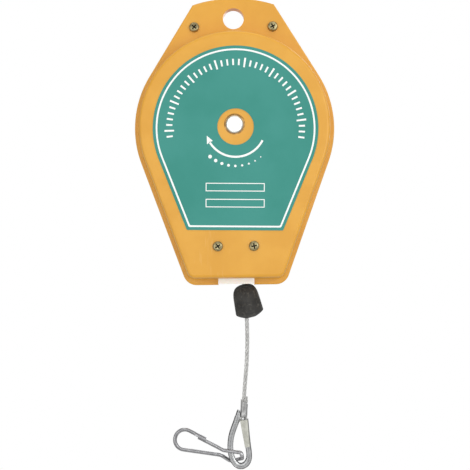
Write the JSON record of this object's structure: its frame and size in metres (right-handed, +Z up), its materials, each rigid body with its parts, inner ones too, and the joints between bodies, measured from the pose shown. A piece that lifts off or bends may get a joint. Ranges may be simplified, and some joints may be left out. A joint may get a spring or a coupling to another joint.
{
  "type": "tool balancer",
  "caption": "Spring tool balancer: orange moulded casing with a hanging hole, green label plate, steel rope through a guide, rubber stopper, thimble and snap hook.",
  "frame": {"origin": "centre of the hanging hole, in the plane where the two shells meet", "axes": "+X to the right of the front, the front faces -Y, +Z up"},
  "size_m": [0.145, 0.049, 0.343],
  "materials": {
    "casing": "moulded, slightly glossy",
    "label": "printed sheet, satin",
    "bushes": "sintered, dull",
    "guide": "moulded, matte",
    "screws": "yellow zinc plated",
    "drum": "cast, turned",
    "steel": "turned",
    "spring": "blued strip",
    "rope": "stranded, zinc plated",
    "rubber": "moulded, matte",
    "fittings": "zinc plated",
    "collar": "sleeve, satin"
  },
  "bodies": {
    "housing": {"front_cover": "casing", "rear_cover": "casing", "nameplate": "label", "front_bush": "bushes", "rear_bush": "bushes", "rope_guide": "guide", "ear_screws": "screws", "dome_screws": "screws", "rope_lead": "rope", "rope_reach": "rope", "pawl_pivot": "steel", "pawl_spring": "steel"},
    "drum": {"rope_drum": "drum", "drum_cover": "drum", "drum_screws": "steel", "drum_front_bush": "bushes", "drum_rear_bush": "bushes", "wound_rope": "rope", "power_spring": "spring"},
    "spindle": {"spindle": "steel", "front_ring": "steel", "rear_ring": "steel", "ratchet_wheel": "steel"},
    "pawl": {"pawl": "steel"},
    "rope_end": {"rope_hanging": "rope", "stopper": "rubber", "stop_sleeve": "fittings", "ferrule": "fittings", "rope_tail": "rope", "thimble": "fittings", "rope_eye": "rope", "thimble_collar": "collar"},
    "hook": {"snap_hook": "fittings"},
    "gate": {"hook_gate": "fittings"}
  },
  "joints": [
    {"name": "drum_spin", "type": "hinge", "parent": "housing", "child": "drum", "pos_m": [0, 0, -0.0783], "axis": [0, -1, 0], "range_deg": [0, 1440], "stiffness_Nm_per_rad": 0.036, "springref_deg": -2291.83, "deforming": ["power_spring"]},
    {"name": "rope_pull", "type": "slide", "parent": "housing", "child": "rope_end", "axis": [0, 0, -1], "range_m": [0, 1.2064], "deforming": ["rope_reach"]},
    {"name": "tension_adjust", "type": "hinge", "parent": "housing", "child": "spindle", "pos_m": [0, 0, -0.0783], "axis": [0, 1, 0], "range_deg": [0, 1440], "deforming": ["power_spring"]},
    {"name": "pawl_release", "type": "hinge", "parent": "housing", "child": "pawl", "pos_m": [-0.019, 0, -0.0569], "axis": [0, -1, 0], "range_deg": [0, 12], "stiffness_Nm_per_rad": 0.02, "springref_deg": -17.19, "deforming": ["pawl_spring"]},
    {"name": "hook_swing", "type": "hinge", "parent": "rope_end", "child": "hook", "pos_m": [0.0019, 0, -0.32], "axis": [0, -1, 0], "range_deg": [-8, 200]},
    {"name": "gate_open", "type": "hinge", "parent": "hook", "child": "gate", "pos_m": [-0.0116, 0, -0.3169], "axis": [0, -1, 0], "range_deg": [0, 17], "stiffness_Nm_per_rad": 0.1, "springref_deg": -8.59}
  ],
  "couplings": [
    {"joint": "rope_pull", "follows": "drum_spin", "m_per_rad": 0.048}
  ]
}
